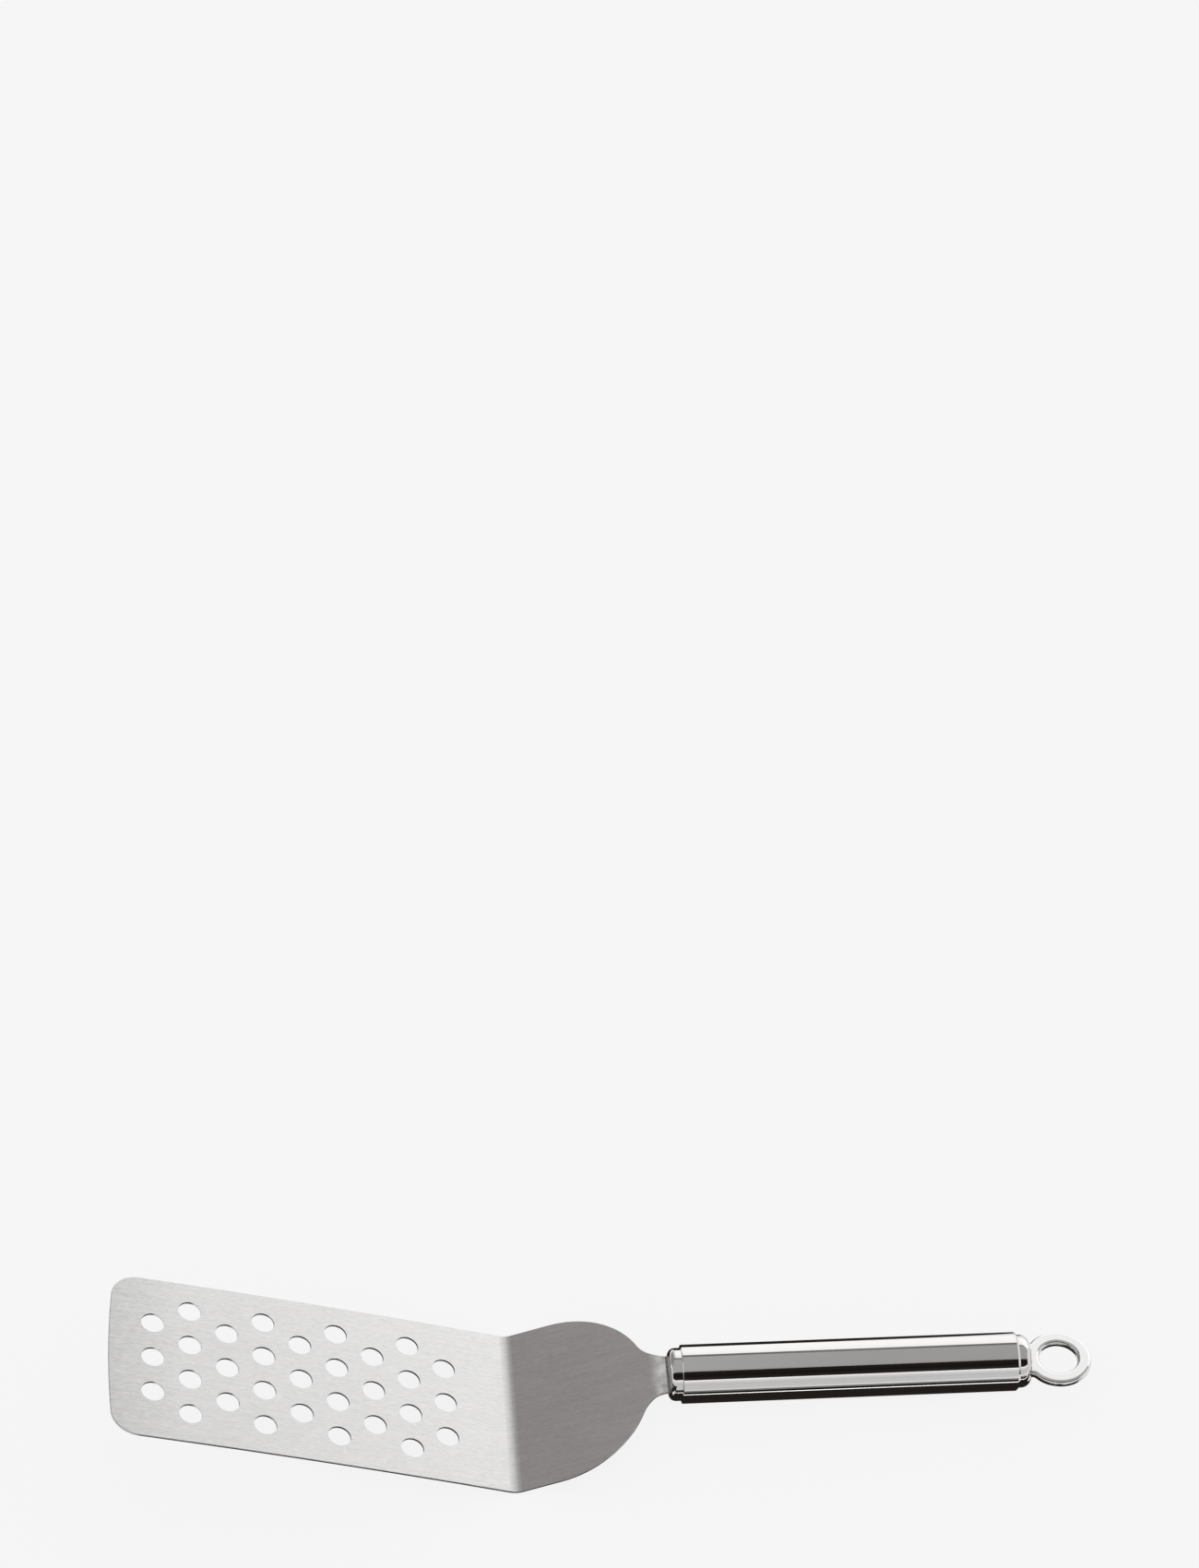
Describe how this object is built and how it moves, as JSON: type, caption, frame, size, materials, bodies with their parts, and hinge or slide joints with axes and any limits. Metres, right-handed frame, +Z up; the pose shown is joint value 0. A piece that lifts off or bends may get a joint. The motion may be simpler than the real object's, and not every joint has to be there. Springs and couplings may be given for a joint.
{
  "type": "perforated turner",
  "caption": "Offset kitchen turner with a perforated flat blade, a round tube handle and a hanging ring.",
  "frame": {"origin": "centre of the footprint of the turner at rest, on the surface that it lies on", "axes": "+X from the blade's tip to the hanging ring, +Z up, y = 0 the plane of symmetry"},
  "size_m": [0.3328, 0.0682, 0.0477],
  "materials": {
    "brushed_sheet": "brushed along the blade",
    "polished_steel": "polished, almost a mirror",
    "polished_ring": "polished"
  },
  "bodies": {
    "root": {"blade": "brushed_sheet", "front_end_cap": "polished_steel", "handle_tube": "polished_steel", "rear_end_cap": "polished_steel", "hanging_ring": "polished_ring"}
  },
  "joints": []
}
